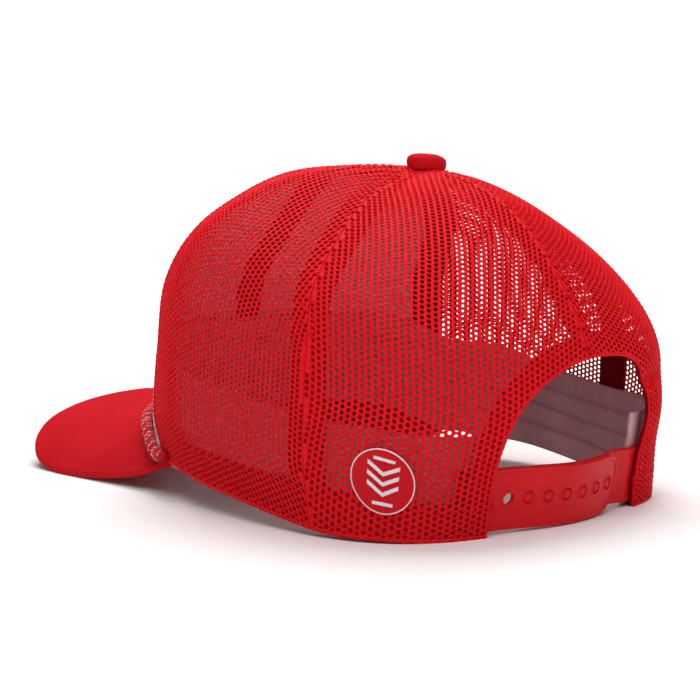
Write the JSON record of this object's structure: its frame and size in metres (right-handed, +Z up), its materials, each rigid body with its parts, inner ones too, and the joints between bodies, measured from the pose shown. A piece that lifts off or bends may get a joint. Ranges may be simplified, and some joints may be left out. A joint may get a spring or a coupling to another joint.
{
  "type": "trucker cap",
  "caption": "Six panel trucker cap with a tall plain front, net sides and back, a curved visor with a cord at its root, a top button and a snap strap across the back opening.",
  "frame": {"origin": "centre of the box round the cap, on the surface that the cap rests on", "axes": "+Z up, the visor points to -Y, the back opening and its strap face +Y, the wearer's left is +X"},
  "size_m": [0.1784, 0.2778, 0.1334],
  "materials": {
    "front_cloth": "plain woven cloth over a stiff backing",
    "net": "knitted polyester net",
    "seam_tape": "woven tape",
    "band_cloth": "stitched cloth",
    "visor_cloth": "fine woven cloth",
    "cord": "braided cord with pale flecks",
    "badge_thread": "embroidery thread",
    "strap_plastic": "satin moulded plastic"
  },
  "bodies": {
    "root": {"front_panel_left": "front_cloth", "front_panel_right": "front_cloth", "side_panel_left": "net", "side_panel_right": "net", "back_panel_left": "net", "back_panel_right": "net", "tape_front": "seam_tape", "tape_front_left": "seam_tape", "tape_front_right": "seam_tape", "tape_side_left": "seam_tape", "tape_side_right": "seam_tape", "tape_back": "seam_tape", "arch_binding": "seam_tape", "sweatband": "band_cloth", "visor": "visor_cloth", "rope": "cord", "button": "visor_cloth", "badge": "badge_thread", "strap_outer": "strap_plastic", "strap_inner": "strap_plastic"}
  },
  "joints": []
}
